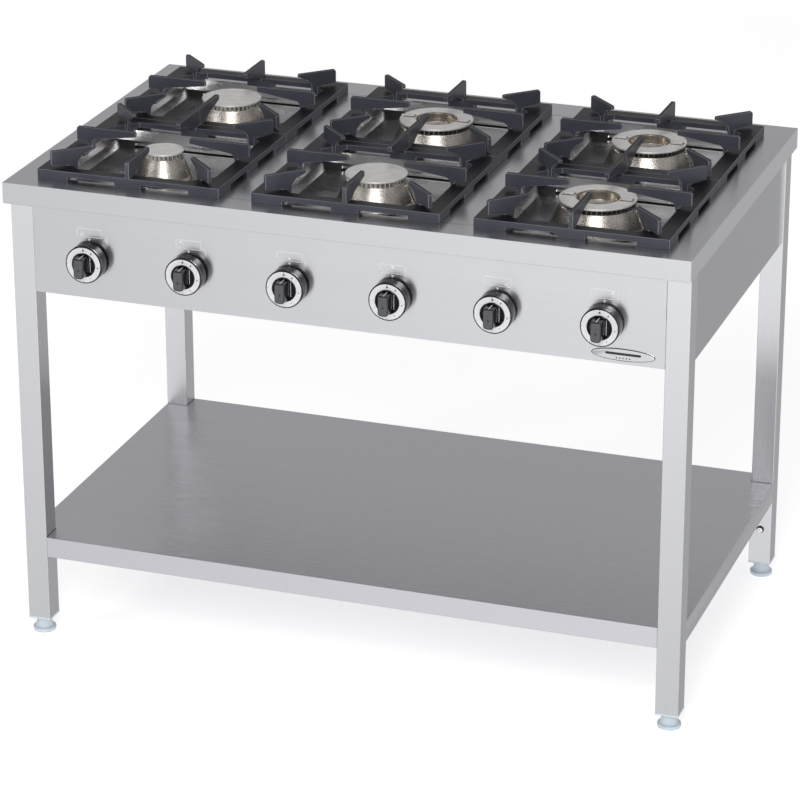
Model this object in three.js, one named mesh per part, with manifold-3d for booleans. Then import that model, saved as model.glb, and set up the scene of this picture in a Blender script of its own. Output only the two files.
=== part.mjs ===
// Six-burner commercial gas range on an open stand.
// Millimetres, +Z up, front of the range faces -Y. The origin is the middle of the footprint, on the floor.

import * as THREE from 'three';
import { mergeVertices } from 'three/addons/utils/BufferGeometryUtils.js';
import Module from 'manifold-3d';

const wasm = await Module();
wasm.setup();

// ---------------------------------------------------------------- driving dimensions

const WIDTH = 1200;
const DEPTH = 730;
const HEIGHT = 850; // top face of the worktop
const SHEET = 2;
const GAP = 0.3; // running gap between touching pieces

const SKIRT_HEIGHT = 36;
const SKIRT_RETURN = 14; // folded lip under the front and rear skirt

const LEG = 40;
const LEG_WALL = 2;
const LEG_SIDE_INSET = 4;
const LEG_FRONT_INSET = 22;
const LEG_BOTTOM = 28;
const PLUG_DEPTH = 30; // plastic plug in the lower end of each leg

const SHELF_TOP = 190;
const SHELF_EDGE = 38;
const PANEL_BOTTOM = 652;
const PANEL_TOP = 844;
const PANEL_RETURN = 16;
const SIDE_PANEL_RECESS = 4;

const COLUMN_PITCH = 388;
const CELL_PITCH = 316;
const CELLS_MIDDLE_Y = -9;
const WELL_HALF_X = 152;
const WELL_HALF_Y = 148;
const WELL_CORNER = 5;
const WELL_FOOT_CORNER = 1;
const WELL_WALL = 20; // height of the upright wall of a well
const WELL_CHAMFER = 11; // sloped foot of the wall
const PAN_FLANGE = 12;
const THROAT_CLEARANCE = 4;
const SLOT_HALF_LENGTH = 116;
const SLOT_WIDTH = 6;

const GRATE_X = 330;
const GRATE_Y = 315;
const GRATE_SIDE_BAR = 28;
const GRATE_END_BAR = 22;
const GRATE_BAR_HEIGHT = 16.7;
const GRATE_HEIGHT = 45.7;
const GRATE_GUSSET = 35;
const GRATE_PAD_GAP = 7; // height of the relief between the grate's pads
const GRATE_PAD_HALF = 24; // half width of the pad in the middle of each side
const GRATE_RELIEF_X = 110;
const GRATE_RELIEF_Y = 102;
const FIN = 7;

const BURNER_TOP = 870.5;
const CAP_HEIGHT = 10.7;
const BURNER_FLARE = 18; // how much wider the burner's foot is than its head
const THROAT_RADIUS = 26;
const THROAT_WALL = 6;
const THROAT_BOTTOM = 772;
const CAP_LIP_INNER = 10; // how far the faces of the cap's lip lie inside its rim
const CAP_LIP_OUTER = 7.6;
const CAP_LIP_DEPTH = 4;
const CAP_RIM = 3;
const PORT_SETBACK = 1.5;
const RING_HOLE_RADIUS = 35;
const BOWL_DEPTH = 22;
const BOWL_WALL = 2;
const TAB_LENGTH = 18;
const TAB_WIDTH = 6;
const TAB_PROUD = 2.5;

const KNOB_PITCH = 181;
const KNOB_Z = 721;
const KNOB_RADIUS = 33;
const KNOB_STAND_OFF = 3.6; // room for the push
const KNOB_LENGTH = 24.5;
const DIAL_HUB_RADIUS = 20.5;
const DIAL_RECESS = 5;
const GRIP_PROUD = 22;
const GRIP_WIDTH = 18;
const GRIP_HEIGHT = 36;
const SPINDLE_RADIUS = 4;
const SPINDLE_CLEARANCE = 0.5;
const PANEL_HOLE_RADIUS = 7;

const BADGE_X = 486;
const BADGE_Z = 668.5;
const BADGE_HALF_WIDTH = 54;
const BADGE_HALF_HEIGHT = 10.5;

const VALVE_WIDTH = 28;
const VALVE_HEIGHT = 32;
const VALVE_LENGTH = 46;
const VALVE_SET_BACK = 12;
const MANIFOLD_RADIUS = 12;
const MANIFOLD_HALF_LENGTH = 516;
const TUBE_RADIUS = 4;
const TUBE_Z = 754;
const INLET_RADIUS = 10.5;
const INLET_X = 480;
const INLET_START_Y = 300;

const EARTH_SCREW_Z = 97;
const FOOT_RADIUS = 20.5;
const FOOT_NECK = 13.5;
const STEM_RADIUS = 5;
const STEM_LENGTH = 34;

// ---------------------------------------------------------------- derived places

const legOuterX = WIDTH / 2 - LEG_SIDE_INSET;
const legInnerX = legOuterX - LEG;
const legOuterY = DEPTH / 2 - LEG_FRONT_INSET;
const legInnerY = legOuterY - LEG;
const sheetUnder = HEIGHT - SHEET;
const flangeTop = sheetUnder - GAP;
const wellFloor = flangeTop - WELL_WALL - WELL_CHAMFER;
const seatZ = BURNER_TOP - CAP_HEIGHT - GAP;
const burnerBase = wellFloor + GAP;
const panelFace = -legOuterY;
const knobBack = panelFace - KNOB_STAND_OFF;
const knobFace = knobBack - KNOB_LENGTH;
const gripFace = knobFace - GRIP_PROUD;
const valveFront = panelFace + SHEET + VALVE_SET_BACK;
const valveBack = valveFront + VALVE_LENGTH;
const manifoldY = valveBack + GAP + MANIFOLD_RADIUS;
const frontEdge = -DEPTH / 2;
const overallMiddleY = (gripFace + DEPTH / 2) / 2;
const openingX = COLUMN_PITCH + WELL_HALF_X;
const openingFront = CELLS_MIDDLE_Y - CELL_PITCH / 2 - WELL_HALF_Y;
const openingRear = CELLS_MIDDLE_Y + CELL_PITCH / 2 + WELL_HALF_Y;
const stripHalfX = COLUMN_PITCH / 2 - WELL_HALF_X;

const SIDES = [['left', -1], ['right', 1]];
const COLUMNS = [['left', -COLUMN_PITCH], ['centre', 0], ['right', COLUMN_PITCH]];
const ROWS = [['front', CELLS_MIDDLE_Y - CELL_PITCH / 2], ['rear', CELLS_MIDDLE_Y + CELL_PITCH / 2]];

// Head radius and cap of each burner: small and medium ones have a plain disc, large ones a ring.
const SMALL = { radius: 35, ring: false, endFinTip: 67 };
const MEDIUM = { radius: 53, ring: false, endFinTip: 67 };
const LARGE = { radius: 65, ring: true, endFinTip: 50 };
const BURNERS = {
  left: { front: SMALL, rear: MEDIUM },
  centre: { front: MEDIUM, rear: LARGE },
  right: { front: LARGE, rear: LARGE },
};

// ---------------------------------------------------------------- materials

const finish = (color, roughness, metalness) => new THREE.MeshStandardMaterial({ color, roughness, metalness });

const brushedSteel = finish(0xc9cbd0, 0.35, 1);
const frameSteel = finish(0xaeb0b5, 0.4, 1);
const pressedSteel = finish(0xb9b7b4, 0.3, 1);
const blackIron = finish(0x33353c, 0.6, 0.4);
const nickelCasting = finish(0xb9ae9f, 0.4, 1);
const satinCap = finish(0xd6d2c9, 0.45, 1);
const knobPlastic = finish(0x2a2b31, 0.35, 0.1);
const spindleSteel = finish(0x9a9ca0, 0.3, 1);
const brass = finish(0xb08d3f, 0.35, 1);
const gasPipe = finish(0xc2b280, 0.5, 0.8);
const clearPlastic = finish(0xd5dce6, 0.35, 0);
const badgePlate = finish(0xe4e5e8, 0.3, 0.6);

// ---------------------------------------------------------------- solids

/** A closed geometry as a solid that can be joined and cut. */
function solid(geometry) {
  const bare = geometry.clone();
  bare.deleteAttribute('normal');
  bare.deleteAttribute('uv');
  const merged = mergeVertices(bare, 1e-4);
  return new wasm.Manifold(new wasm.Mesh({
    numProp: 3,
    vertProperties: new Float32Array(merged.attributes.position.array),
    triVerts: new Uint32Array(merged.index.array),
  }));
}

/** The finished solid as a geometry. */
function geometryOf(body) {
  const mesh = body.getMesh();
  const geometry = new THREE.BufferGeometry();
  geometry.setAttribute('position', new THREE.BufferAttribute(mesh.vertProperties, 3));
  geometry.setIndex(new THREE.BufferAttribute(mesh.triVerts, 1));
  geometry.computeVertexNormals();
  return geometry;
}

const union = (...bodies) => bodies.reduce((sum, body) => sum.add(body));

/** A box between two corners. */
function block(x0, x1, y0, y1, z0, z1) {
  const geometry = new THREE.BoxGeometry(x1 - x0, y1 - y0, z1 - z0);
  return solid(geometry.translate((x0 + x1) / 2, (y0 + y1) / 2, (z0 + z1) / 2));
}

/** A flat outline in X and Y, raised from z0 to z1. */
function plate(shape, z0, z1) {
  const geometry = new THREE.ExtrudeGeometry(shape, { depth: z1 - z0, bevelEnabled: false });
  return solid(geometry.translate(0, 0, z0));
}

/** A solid of revolution about Z, from [radius, z] points that run upwards on its outside. */
function turned(points, segments = 20) {
  const profile = points.map(([radius, z]) => new THREE.Vector2(radius, z));
  return solid(new THREE.LatheGeometry(profile, segments).rotateX(Math.PI / 2));
}

/** A closed profile that doesn't reach the axis, revolved about Z. */
function turnedRing(points, segments = 20) {
  return turned([...points, points[0]], segments);
}

/** A round bar between two points. */
function rod(from, to, radius, segments = 12) {
  const start = new THREE.Vector3(...from);
  const span = new THREE.Vector3(...to).sub(start);
  const geometry = new THREE.CylinderGeometry(radius, radius, span.length(), segments);
  const turn = new THREE.Quaternion().setFromUnitVectors(new THREE.Vector3(0, 1, 0), span.clone().normalize());
  return solid(geometry.applyQuaternion(turn).translate(...start.addScaledVector(span, 0.5).toArray()));
}

/** A rectangle with round corners about the origin, as points. */
function roundedRectangle(halfX, halfY, corner, steps = 3) {
  const points = [];
  for (const [quarter, sx, sy] of [[0, 1, 1], [1, -1, 1], [2, -1, -1], [3, 1, -1]]) {
    for (let i = 0; i <= steps; i += 1) {
      const angle = (quarter + i / steps) * Math.PI / 2;
      const x = sx * (halfX - corner) + corner * Math.cos(angle);
      const y = sy * (halfY - corner) + corner * Math.sin(angle);
      points.push(new THREE.Vector2(x, y));
    }
  }
  return points;
}

/** A solid through rings of equal point counts, given from the bottom up. */
function loft(rings) {
  const count = rings[0].length;
  const last = rings.length - 1;
  const positions = rings.flat(2);
  const index = [];
  for (let level = 0; level < last; level += 1) {
    for (let i = 0; i < count; i += 1) {
      const low = level * count + i;
      const lowNext = level * count + ((i + 1) % count);
      index.push(low, lowNext, lowNext + count, low, lowNext + count, low + count);
    }
  }
  for (let i = 1; i < count - 1; i += 1) {
    index.push(0, i + 1, i);
    index.push(last * count, last * count + i, last * count + i + 1);
  }
  const geometry = new THREE.BufferGeometry();
  geometry.setAttribute('position', new THREE.Float32BufferAttribute(positions, 3));
  geometry.setIndex(index);
  return solid(geometry);
}

/** A pipe through a list of points, mitred at each bend. */
function pipe(path, radius, segments = 8) {
  const points = path.map((point) => new THREE.Vector3(...point));
  const last = points.length - 1;
  let normal = new THREE.Vector3(0, 0, 1);
  if (Math.abs(points[1].clone().sub(points[0]).normalize().z) > 0.9) {
    normal = new THREE.Vector3(1, 0, 0);
  }
  let ring = null;
  const rings = points.map((point, i) => {
    const before = points[i].clone().sub(points[Math.max(i - 1, 0)]).normalize();
    const after = points[Math.min(i + 1, last)].clone().sub(point).normalize();
    if (i === 0) {
      const across = new THREE.Vector3().crossVectors(after, normal).normalize();
      const upright = new THREE.Vector3().crossVectors(across, after);
      ring = Array.from({ length: segments }, (_, k) => {
        const angle = (2 * Math.PI * k) / segments;
        const offset = across.clone().multiplyScalar(Math.cos(angle)).addScaledVector(upright, -Math.sin(angle));
        return point.clone().addScaledVector(offset, radius);
      });
    } else {
      const mitre = before.clone().add(after).normalize();
      ring = ring.map((corner) => {
        const reach = point.clone().sub(corner).dot(mitre) / before.dot(mitre);
        return corner.clone().addScaledVector(before, reach);
      });
    }
    return ring.map((corner) => corner.toArray());
  });
  return loft(rings);
}

// ---------------------------------------------------------------- stand

/** Square tube leg with its plastic plug, which carries the thread of the foot. */
function leg() {
  const tube = block(-LEG / 2, LEG / 2, -LEG / 2, LEG / 2, LEG_BOTTOM, flangeTop);
  const inside = LEG / 2 - LEG_WALL;
  const hollow = block(-inside, inside, -inside, inside, LEG_BOTTOM + PLUG_DEPTH, flangeTop + 1);
  const thread = rod([0, 0, LEG_BOTTOM - 1], [0, 0, LEG_BOTTOM + PLUG_DEPTH + 1], STEM_RADIUS + GAP, 12);
  return tube.subtract(hollow).subtract(thread);
}

/** Screw foot: a round pad, a neck and a stem that runs in the plug. */
function foot() {
  const top = LEG_BOTTOM - GAP;
  return turned([
    [0, 0], [FOOT_RADIUS - 1.5, 0], [FOOT_RADIUS, 2], [FOOT_RADIUS, 7], [FOOT_NECK + 1, 14],
    [FOOT_NECK, top], [STEM_RADIUS, top], [STEM_RADIUS, top + STEM_LENGTH], [0, top + STEM_LENGTH],
  ], 16);
}

/** Tray shelf with down-turned edges, notched round the legs. */
function shelf() {
  const bottom = SHELF_TOP - SHELF_EDGE;
  let body = block(-legOuterX, legOuterX, -legOuterY, legOuterY, bottom, SHELF_TOP);
  body = body.subtract(block(
    SHEET - legOuterX, legOuterX - SHEET, SHEET - legOuterY, legOuterY - SHEET, bottom - 1, SHELF_TOP - SHEET,
  ));
  for (const sx of [-1, 1]) {
    for (const sy of [-1, 1]) {
      const x = [sx * (legInnerX - GAP), sx * (legOuterX + 1)].sort((a, b) => a - b);
      const y = [sy * (legInnerY - GAP), sy * (legOuterY + 1)].sort((a, b) => a - b);
      body = body.subtract(block(...x, ...y, bottom - 1, SHELF_TOP + 1));
    }
  }
  return body;
}

// ---------------------------------------------------------------- body panels

/** Upright sheet with folded returns at top and bottom, facing -Y, back face of the sheet at y = SHEET. */
function foldedPanel(halfWidth) {
  return union(
    block(-halfWidth, halfWidth, 0, SHEET, PANEL_BOTTOM, PANEL_TOP),
    block(-halfWidth, halfWidth, 0, PANEL_RETURN, PANEL_BOTTOM, PANEL_BOTTOM + SHEET),
    block(-halfWidth, halfWidth, 0, PANEL_RETURN, PANEL_TOP - SHEET, PANEL_TOP),
  );
}

/** Front panel with a hole for each valve spindle. */
function controlPanel() {
  let body = foldedPanel(legInnerX - GAP);
  for (const x of knobPlaces()) {
    body = body.subtract(rod([x, -1, KNOB_Z], [x, SHEET + 1, KNOB_Z], PANEL_HOLE_RADIUS, 12));
  }
  return body.translate([0, panelFace, 0]);
}

/** Rear panel with the hole for the gas inlet. */
function backPanel() {
  const hole = rod([-INLET_X, -1, KNOB_Z], [-INLET_X, SHEET + 1, KNOB_Z], INLET_RADIUS + 3, 16);
  return foldedPanel(legInnerX - GAP).subtract(hole).rotate([0, 0, 180]).translate([0, legOuterY, 0]);
}

function sidePanel(side) {
  const face = legOuterX - SIDE_PANEL_RECESS;
  return foldedPanel(legInnerY - GAP).rotate([0, 0, 90 * side]).translate([side * face, 0, 0]);
}

/** Top frame: a sheet with one large opening, a skirt all round and a lip under its front and rear. */
function worktop() {
  const x = WIDTH / 2;
  const y = DEPTH / 2;
  const skirtBottom = HEIGHT - SKIRT_HEIGHT;
  const shell = block(-x, x, -y, y, skirtBottom, HEIGHT)
    .subtract(block(SHEET - x, x - SHEET, SHEET - y, y - SHEET, skirtBottom - 1, sheetUnder))
    .subtract(block(-openingX, openingX, openingFront, openingRear, sheetUnder - 1, HEIGHT + 1));
  const lip = (y0, y1) => block(SHEET - x - 1, x - SHEET + 1, y0, y1, skirtBottom, skirtBottom + SHEET);
  return union(shell, lip(1 - y, SKIRT_RETURN - y), lip(y - SKIRT_RETURN, y - 1));
}

/** Flat strip that covers the joint between two neighbouring pans, stiffened by two ribs. */
function dividerStrip() {
  const x = stripHalfX - GAP;
  const y0 = openingFront + GAP;
  const y1 = openingRear - GAP;
  const rib = (at) => block(at - 1, at + 1, y0 + 4, y1 - 4, sheetUnder - 20, sheetUnder + 0.5);
  return union(block(-x, x, y0, y1, sheetUnder, HEIGHT), rib(-20), rib(20));
}

// ---------------------------------------------------------------- wells

/** Level ring of the well's outline, grown outwards by a margin. */
function wellRing(margin, z) {
  const corner = Math.max(WELL_CORNER + margin, WELL_FOOT_CORNER);
  const outline = roundedRectangle(WELL_HALF_X + margin, WELL_HALF_Y + margin, corner);
  return outline.map((point) => [point.x, point.y, z]);
}

/** Space of one well, or its outer skin when the margin is the sheet's thickness. */
function wellBody(margin, top) {
  const foot = wellFloor - margin;
  return loft([
    wellRing(margin - WELL_CHAMFER, foot),
    wellRing(margin, foot + WELL_CHAMFER),
    wellRing(margin, top),
  ]);
}

/** Pressed pan of one column: two wells under a common flange, each with a burner hole and an air slot. */
function wellPan() {
  const x = WELL_HALF_X + PAN_FLANGE;
  const y = CELL_PITCH / 2 + WELL_HALF_Y + PAN_FLANGE;
  let body = block(-x, x, CELLS_MIDDLE_Y - y, CELLS_MIDDLE_Y + y, flangeTop - SHEET, flangeTop);
  for (const [, rowY] of ROWS) {
    body = body.add(wellBody(SHEET, flangeTop - SHEET / 2).translate([0, rowY, 0]));
  }
  for (const [, rowY] of ROWS) {
    const slotY = rowY + WELL_HALF_Y - WELL_CHAMFER / 2 - 1;
    const slot = new THREE.Shape(roundedRectangle(SLOT_HALF_LENGTH, SLOT_WIDTH / 2, SLOT_WIDTH / 2 - 0.05));
    const throat = rod([0, rowY, wellFloor - 9], [0, rowY, wellFloor + 9], THROAT_RADIUS + THROAT_CLEARANCE, 20);
    body = body
      .subtract(wellBody(0, flangeTop + 1).translate([0, rowY, 0]))
      .subtract(plate(slot, wellFloor - 9, flangeTop - 9).translate([0, slotY, 0]))
      .subtract(throat);
  }
  return body;
}

// ---------------------------------------------------------------- burners

/** Cast burner: a mixing throat below the pan and a flared chamber above it, open at both ends. */
function burnerBody({ radius }) {
  const head = radius - 1;
  const foot = head + BURNER_FLARE;
  const bore = THROAT_RADIUS - THROAT_WALL;
  return turnedRing([
    [bore, THROAT_BOTTOM], [THROAT_RADIUS, THROAT_BOTTOM], [THROAT_RADIUS, burnerBase], [foot, burnerBase],
    [foot, burnerBase + 4], [head, seatZ], [head - 6, seatZ], [foot - 12, burnerBase + 7],
    [bore, burnerBase + 4],
  ]);
}

/** Outside of a cap: the lip that drops into the burner, the band of ports and the rim. */
function capSkirt(radius, underside) {
  const base = seatZ + GAP;
  const tip = base - CAP_LIP_DEPTH;
  const inner = radius - CAP_LIP_INNER;
  const outer = radius - CAP_LIP_OUTER;
  const band = radius - PORT_SETBACK;
  const rim = BURNER_TOP - CAP_RIM;
  return [
    [inner, underside], [inner, tip], [outer, tip], [outer, base], [band, base], [band, rim - 0.5], [radius, rim],
    [radius, BURNER_TOP],
  ];
}

/** Flame spreader and cap in one: a plain disc. */
function discCap(radius) {
  return turned([
    [0, BURNER_TOP - 5], ...capSkirt(radius, BURNER_TOP - 5), [0, BURNER_TOP],
  ]);
}

/** Ring cap: as the disc, but with a sunken middle bowl and two raised grip tabs. */
function ringCap(radius) {
  const hole = RING_HOLE_RADIUS;
  const bowlFloor = BURNER_TOP - BOWL_DEPTH;
  const bowlUnder = bowlFloor - BOWL_WALL - 1;
  const ring = turned([
    [0, bowlUnder], [hole + BOWL_WALL, bowlUnder], [hole + BOWL_WALL, BURNER_TOP - 4],
    ...capSkirt(radius, BURNER_TOP - 4),
    [hole, BURNER_TOP], [hole - 2, bowlFloor + 6], [hole - 10, bowlFloor], [0, bowlFloor],
  ]);
  const middle = (hole + radius) / 2;
  const tab = (side) => block(
    side * middle - TAB_LENGTH / 2, side * middle + TAB_LENGTH / 2, -TAB_WIDTH / 2, TAB_WIDTH / 2,
    BURNER_TOP - 1, BURNER_TOP + TAB_PROUD,
  );
  return union(ring, tab(-1), tab(1));
}

// ---------------------------------------------------------------- grates

/** Upright rib along +X from an outline in [distance from the cell's middle, height above the base]. */
function fin(outline, angle) {
  const shape = new THREE.Shape(outline.map(([s, h]) => new THREE.Vector2(s, h)));
  const geometry = new THREE.ExtrudeGeometry(shape, { depth: FIN, bevelEnabled: false });
  geometry.translate(0, 0, -FIN / 2).rotateX(Math.PI / 2).rotateZ(angle);
  return solid(geometry);
}

const top = GRATE_HEIGHT;
const bar = GRATE_BAR_HEIGHT;

/** Rib that grows straight out of the front or rear bar. */
const endFin = (tip) => [
  [tip, top - 9.6], [108, top - 19], [124, bar + 3], [138, bar - 6], [157.5, bar - 6],
  [157.5, top - 3], [155, top], [tip + 2, top], [tip, top - 2],
];

/** Rib that stands on the inner edge of a side bar and reaches out above it. */
const sideFin = [
  [50, top - 9.6], [126, top - 20], [131, top - 24], [133, 8], [138, 8], [140, bar], [141, top - 23.5],
  [160, top - 23.5], [160, top - 3], [157.5, top], [52, top], [50, top - 2],
];

/** Short rib on a corner, pointing at the burner. */
const cornerFin = [
  [131, top - 6], [148, top - 13], [156, top - 22], [159, 4], [180, 4], [176, bar + 3], [178, top - 27],
  [205, top - 24.7], [205, top - 3], [202.5, top], [133, top], [131, top - 2],
];

/** Cast pot support: a flat frame on pads, with eight ribs level at the top. */
function grate({ endFinTip }) {
  const x = GRATE_X / 2;
  const y = GRATE_Y / 2;
  const innerX = x - GRATE_SIDE_BAR;
  const innerY = y - GRATE_END_BAR;
  const frame = new THREE.Shape([[-x, -y], [x, -y], [x, y], [-x, y]].map((p) => new THREE.Vector2(...p)));
  const cut = GRATE_GUSSET;
  frame.holes.push(new THREE.Path([
    [innerX, innerY - cut], [innerX - cut, innerY], [cut - innerX, innerY], [-innerX, innerY - cut],
    [-innerX, cut - innerY], [cut - innerX, -innerY], [innerX - cut, -innerY], [innerX, cut - innerY],
  ].map((p) => new THREE.Vector2(...p))));
  let body = plate(frame, 0, bar);
  for (const side of [-1, 1]) {
    const reliefX = [side * GRATE_PAD_HALF, side * GRATE_RELIEF_X].sort((a, b) => a - b);
    const reliefY = [side * GRATE_PAD_HALF, side * GRATE_RELIEF_Y].sort((a, b) => a - b);
    body = body
      .subtract(block(...reliefX, -y - 1, y + 1, -1, GRATE_PAD_GAP))
      .subtract(block(-x - 1, x + 1, ...reliefY, -1, GRATE_PAD_GAP));
  }
  const quarter = Math.PI / 2;
  for (let i = 0; i < 4; i += 1) {
    const straight = i % 2 === 0 ? sideFin : endFin(endFinTip);
    body = union(body, fin(straight, i * quarter), fin(cornerFin, (i + 0.5) * quarter));
  }
  return body.translate([0, 0, HEIGHT + GAP]);
}

// ---------------------------------------------------------------- controls and gas train

function knobPlaces() {
  return [-2.5, -1.5, -0.5, 0.5, 1.5, 2.5].map((step) => step * KNOB_PITCH);
}

/** Control knob about the Z axis, back face at z = 0, bored for the spindle. */
function knob() {
  const body = turned([
    [0, 0], [KNOB_RADIUS, 0], [KNOB_RADIUS, KNOB_LENGTH - 1.2], [KNOB_RADIUS - 1.2, KNOB_LENGTH],
    [DIAL_HUB_RADIUS, KNOB_LENGTH], [DIAL_HUB_RADIUS, KNOB_LENGTH - DIAL_RECESS],
    [0, KNOB_LENGTH - DIAL_RECESS],
  ], 24);
  const grip = new THREE.Shape(roundedRectangle(GRIP_WIDTH / 2, GRIP_HEIGHT / 2, 3, 2));
  const bore = rod([0, 0, -1], [0, 0, 22], SPINDLE_RADIUS + SPINDLE_CLEARANCE, 12);
  return union(body, plate(grip, KNOB_LENGTH - DIAL_RECESS - 1, KNOB_LENGTH + GRIP_PROUD)).subtract(bore);
}

/** Valve spindle about the Z axis, from the valve to inside the knob, with its stop collar. */
function spindle() {
  const length = valveFront - GAP - knobBack + 18;
  const collar = [[5.5, 0], [5.5, 5]];
  return turned([[0, 0], ...collar, [SPINDLE_RADIUS, 5], [SPINDLE_RADIUS, length], [0, length]], 12);
}

/** Gas tap behind the panel, with the tube and the injector that feed its burner. */
function gasValve(x, columnX, rowY) {
  const halfWidth = VALVE_WIDTH / 2;
  const halfHeight = VALVE_HEIGHT / 2;
  const outletY = valveBack - halfWidth;
  const tap = block(x - halfWidth, x + halfWidth, valveFront, valveBack, KNOB_Z - halfHeight, KNOB_Z + halfHeight);
  const nose = rod([x, outletY, KNOB_Z + 10], [x, outletY, KNOB_Z + 26], 7, 8);
  const riser = [x, outletY, KNOB_Z + 20];
  const run = [x, outletY, TUBE_Z];
  const bend = [x, rowY, TUBE_Z];
  const tube = pipe([riser, run, bend, [columnX, rowY, TUBE_Z]], TUBE_RADIUS);
  const injector = turned([[0, -12], [8, -12], [8, 4], [4, 11], [4, 14], [0, 14]], 10);
  return union(tap, nose, tube, injector.translate([columnX, rowY, TUBE_Z]));
}

/** Supply pipe along the valves and back to the inlet. */
function gasManifold() {
  const z = KNOB_Z;
  const corner = [INLET_X + 60, manifoldY, z];
  const turnBack = [INLET_X + 60, legOuterY - 90, z];
  const swanNeck = [INLET_X, legOuterY - 60, z];
  const path = [[-MANIFOLD_HALF_LENGTH, manifoldY, z], corner, turnBack, swanNeck, [INLET_X, INLET_START_Y, z]];
  return pipe(path, MANIFOLD_RADIUS, 12);
}

/** Threaded inlet union that passes through the rear panel. */
function gasInlet() {
  const hex = new THREE.CylinderGeometry(16, 16, 14, 6).translate(0, 7, 0);
  const nipple = new THREE.CylinderGeometry(INLET_RADIUS, INLET_RADIUS, 50, 12).translate(0, 31, 0);
  const bore = new THREE.CylinderGeometry(7, 7, 80, 12).translate(0, 30, 0);
  return union(solid(hex), solid(nipple)).subtract(solid(bore)).translate([INLET_X, INLET_START_Y + GAP, KNOB_Z]);
}

/** Bonding screw with its washer, on the front face of the rear right leg. */
function earthTerminal() {
  const washer = rod([0, 0, 0], [0, -1.5, 0], 7, 16);
  const head = rod([0, -1, 0], [0, -5.5, 0], 5.5, 6);
  const stud = rod([0, -5, 0], [0, -9, 0], 2.5, 10);
  return union(washer, head, stud).translate([legOuterX - LEG / 2, legInnerY - GAP, EARTH_SCREW_Z]);
}

/** Blank oval name plate near the lower right corner of the front panel. */
function badge() {
  const oval = new THREE.Shape().absellipse(0, 0, BADGE_HALF_WIDTH, BADGE_HALF_HEIGHT, 0, 2 * Math.PI);
  const geometry = new THREE.ExtrudeGeometry(oval, { depth: 1.2, bevelEnabled: false, curveSegments: 16 });
  return solid(geometry.rotateX(Math.PI / 2)).translate([BADGE_X, panelFace - GAP, BADGE_Z]);
}

// ---------------------------------------------------------------- assembly

const range = new THREE.Group();
range.position.y = -overallMiddleY;

/** Adds one named piece to the range. */
function add(name, body, material, place = [0, 0, 0], turn = [0, 0, 0]) {
  const mesh = new THREE.Mesh(geometryOf(body), material);
  mesh.name = name;
  mesh.position.set(...place);
  mesh.rotation.set(...turn);
  range.add(mesh);
}

for (const [sideName, side] of SIDES) {
  for (const [endName, end] of [['front', -1], ['rear', 1]]) {
    const place = [side * (legOuterX - LEG / 2), end * (legOuterY - LEG / 2), 0];
    add(`leg_${endName}_${sideName}`, leg(), frameSteel, place);
    add(`foot_${endName}_${sideName}`, foot(), clearPlastic, place);
  }
  add(`side_panel_${sideName}`, sidePanel(side), brushedSteel);
  add(`divider_strip_${sideName}`, dividerStrip(), brushedSteel, [side * COLUMN_PITCH / 2, 0, 0]);
}
add('shelf', shelf(), frameSteel);
add('control_panel', controlPanel(), brushedSteel);
add('back_panel', backPanel(), brushedSteel);
add('worktop', worktop(), brushedSteel);
add('gas_manifold', gasManifold(), gasPipe);
add('gas_inlet', gasInlet(), brass);
add('earth_terminal', earthTerminal(), spindleSteel);
add('badge', badge(), badgePlate);

const places = knobPlaces();
const faceFront = [Math.PI / 2, 0, 0];
COLUMNS.forEach(([columnName, columnX], column) => {
  add(`well_pan_${columnName}`, wellPan(), pressedSteel, [columnX, 0, 0]);
  ROWS.forEach(([rowName, rowY], row) => {
    const burner = BURNERS[columnName][rowName];
    const cap = burner.ring ? ringCap(burner.radius) : discCap(burner.radius);
    const here = `${rowName}_${columnName}`;
    const knobX = places[2 * column + row];
    const place = [columnX, rowY, 0];
    add(`burner_body_${here}`, burnerBody(burner), nickelCasting, place);
    add(`burner_cap_${here}`, cap, satinCap, place);
    add(`grate_${here}`, grate(burner), blackIron, place);
    add(`gas_valve_${here}`, gasValve(knobX, columnX, rowY), brass);
    add(`valve_spindle_${here}`, spindle(), spindleSteel, [knobX, valveFront - GAP, KNOB_Z], faceFront);
    add(`knob_${here}`, knob(), knobPlastic, [knobX, knobBack, KNOB_Z], faceFront);
  });
});

export default range;
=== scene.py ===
"""Looks of the commercial gas range.

Refined pieces, materials, floor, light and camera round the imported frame.
Sizes are in mm, apart from those of the camera, the lights and the floor, which are in metres.
"""

import math

import bmesh
import bpy
from mathutils import Matrix, Vector

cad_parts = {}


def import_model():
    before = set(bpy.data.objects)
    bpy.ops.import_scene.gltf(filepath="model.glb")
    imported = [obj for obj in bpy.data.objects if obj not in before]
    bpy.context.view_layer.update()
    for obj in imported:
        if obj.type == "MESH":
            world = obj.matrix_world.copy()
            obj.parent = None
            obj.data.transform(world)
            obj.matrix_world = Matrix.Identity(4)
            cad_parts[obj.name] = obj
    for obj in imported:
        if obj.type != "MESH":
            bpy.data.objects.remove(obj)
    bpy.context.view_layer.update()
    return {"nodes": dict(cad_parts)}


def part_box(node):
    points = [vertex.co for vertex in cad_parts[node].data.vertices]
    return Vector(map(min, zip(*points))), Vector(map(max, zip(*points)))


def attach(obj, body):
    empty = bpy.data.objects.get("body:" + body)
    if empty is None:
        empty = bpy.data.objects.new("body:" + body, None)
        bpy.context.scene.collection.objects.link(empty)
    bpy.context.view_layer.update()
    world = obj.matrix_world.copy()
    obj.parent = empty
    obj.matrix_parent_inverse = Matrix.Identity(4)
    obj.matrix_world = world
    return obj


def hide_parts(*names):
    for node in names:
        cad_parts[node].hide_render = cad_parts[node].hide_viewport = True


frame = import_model()

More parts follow.
